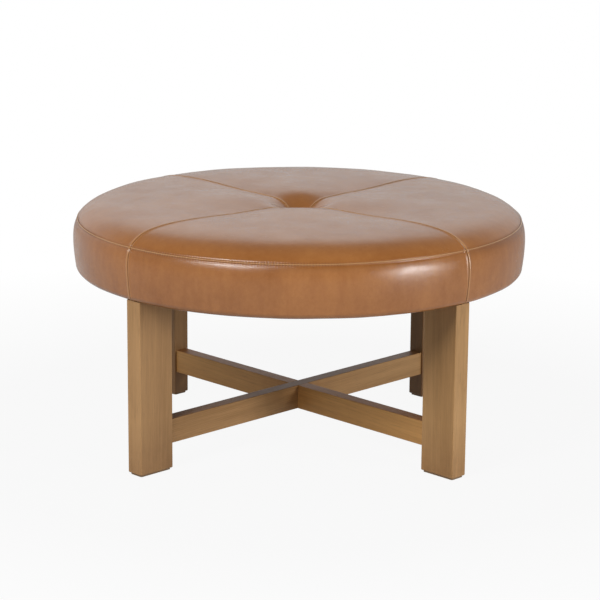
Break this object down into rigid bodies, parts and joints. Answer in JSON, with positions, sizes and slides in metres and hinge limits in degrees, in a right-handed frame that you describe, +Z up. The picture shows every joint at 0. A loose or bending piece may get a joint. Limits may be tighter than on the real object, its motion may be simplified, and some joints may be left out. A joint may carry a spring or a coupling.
{
  "type": "ottoman",
  "caption": "Round upholstered ottoman: crowned, cross-seamed leather seat tufted in the middle, on plank legs tied by half-lapped crossed stretchers.",
  "frame": {"origin": "on the floor under the middle of the seat", "axes": "+Z up through the middle of the seat; -Y is the pictured front; the legs stand on the diagonals between X and Y"},
  "size_m": [0.914, 0.914, 0.4907],
  "materials": {
    "top_leather": "satin",
    "side_leather": "satin",
    "button_leather": "satin",
    "oak_legs": "satin",
    "oak_stretchers": "satin",
    "plywood": "matte",
    "block_wood": "matte",
    "dowel_beech": "matte",
    "foot_felt": "matte",
    "fibre": "matte",
    "foam": "matte",
    "twine": "matte",
    "nylon": "satin",
    "dust_cloth": "matte",
    "zinc_steel": "satin",
    "insert_brass": "satin"
  },
  "bodies": {
    "root": {"deck_board": "plywood", "dust_cover": "dust_cloth", "fibre_wrap": "fibre", "foam_band": "foam", "foam_pad": "foam", "foot_pad_back_left": "foot_felt", "foot_pad_back_right": "foot_felt", "foot_pad_front_left": "foot_felt", "foot_pad_front_right": "foot_felt", "joint_block_back": "block_wood", "joint_block_front": "block_wood", "joint_block_left": "block_wood", "joint_block_right": "block_wood", "lap_screw": "zinc_steel", "leg_back_left": "oak_legs", "leg_back_right": "oak_legs", "leg_block_back_left": "block_wood", "leg_block_back_right": "block_wood", "leg_block_front_left": "block_wood", "leg_block_front_right": "block_wood", "leg_bolt_washers": "zinc_steel", "leg_bolts": "zinc_steel", "leg_front_left": "oak_legs", "leg_front_right": "oak_legs", "leg_inserts": "insert_brass", "rim_hoop": "plywood", "ring_segment_back_left": "plywood", "ring_segment_back_right": "plywood", "ring_segment_front_left": "plywood", "ring_segment_front_right": "plywood", "side_panel_back": "side_leather", "side_panel_front": "side_leather", "side_panel_left": "side_leather", "side_panel_right": "side_leather", "stretcher_dowels": "dowel_beech", "stretcher_lower_lap": "oak_stretchers", "stretcher_upper_lap": "oak_stretchers", "tie_washer": "nylon", "top_panel_back": "top_leather", "top_panel_front": "top_leather", "top_panel_left": "top_leather", "top_panel_right": "top_leather", "tuft_button": "button_leather", "tuft_twine": "twine"}
  },
  "joints": []
}
